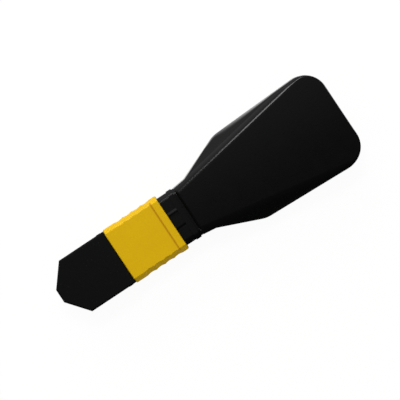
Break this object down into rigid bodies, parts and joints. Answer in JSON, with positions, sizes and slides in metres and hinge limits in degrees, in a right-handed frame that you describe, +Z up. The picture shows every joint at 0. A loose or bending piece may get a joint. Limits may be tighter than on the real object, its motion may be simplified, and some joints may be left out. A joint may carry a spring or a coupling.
{
  "type": "mpo fibre loopback plug",
  "caption": "Short multi-fibre plug with a sliding latch sleeve, a dust cap over its mating end and a flat flared shell that holds its looped fibres.",
  "frame": {"origin": "under the middle of the plug, on the plane of the shell's flat underside", "axes": "+X along the connector's axis to its mating end, +Z up out of the broad flat side that carries the polarity key, +Y to the left looking along +X"},
  "size_m": [0.0666, 0.021, 0.0084],
  "materials": {
    "cap_plastic": "satin",
    "yellow_plastic": "satin",
    "inner_plastic": "satin",
    "ferrule_resin": "fine moulded",
    "epoxy": "cured resin",
    "boot_rubber": "soft",
    "keeper_plastic": "moulded",
    "spring_steel": "drawn wire",
    "fibre_coat": "smooth coating",
    "ribbon_matrix": "clear matrix",
    "neck_plastic": "satin",
    "shell_plastic": "glossy moulded"
  },
  "bodies": {
    "connector": {"inner_housing": "inner_plastic", "rear_body": "neck_plastic", "shell_top": "shell_plastic", "shell_bottom": "shell_plastic", "ferrule_spring": "spring_steel", "coupling_spring_left": "spring_steel", "coupling_spring_right": "spring_steel"},
    "cap": {"dust_cap": "cap_plastic"},
    "grip": {"outer_housing": "yellow_plastic"},
    "ferrule": {"mt_ferrule": "ferrule_resin", "epoxy_fill": "epoxy", "ferrule_boot": "boot_rubber", "pin_keeper": "keeper_plastic", "fibre_ribbon": "ribbon_matrix", "fibre_loop_1": "fibre_coat", "fibre_loop_2": "fibre_coat", "fibre_loop_3": "fibre_coat", "fibre_loop_4": "fibre_coat", "fibre_loop_5": "fibre_coat", "fibre_loop_6": "fibre_coat"}
  },
  "joints": [
    {"name": "cap_slide", "type": "slide", "parent": "connector", "child": "cap", "axis": [1, 0, 0], "range_m": [0, 0.02]},
    {"name": "grip_slide", "type": "slide", "parent": "connector", "child": "grip", "axis": [1, 0, 0], "range_m": [-0.002, 0], "stiffness_N_per_m": 400, "deforming": ["coupling_spring_left", "coupling_spring_right"]},
    {"name": "ferrule_slide", "type": "slide", "parent": "connector", "child": "ferrule", "axis": [1, 0, 0], "range_m": [-0.001, 0], "stiffness_N_per_m": 2500, "deforming": ["ferrule_spring"]}
  ]
}
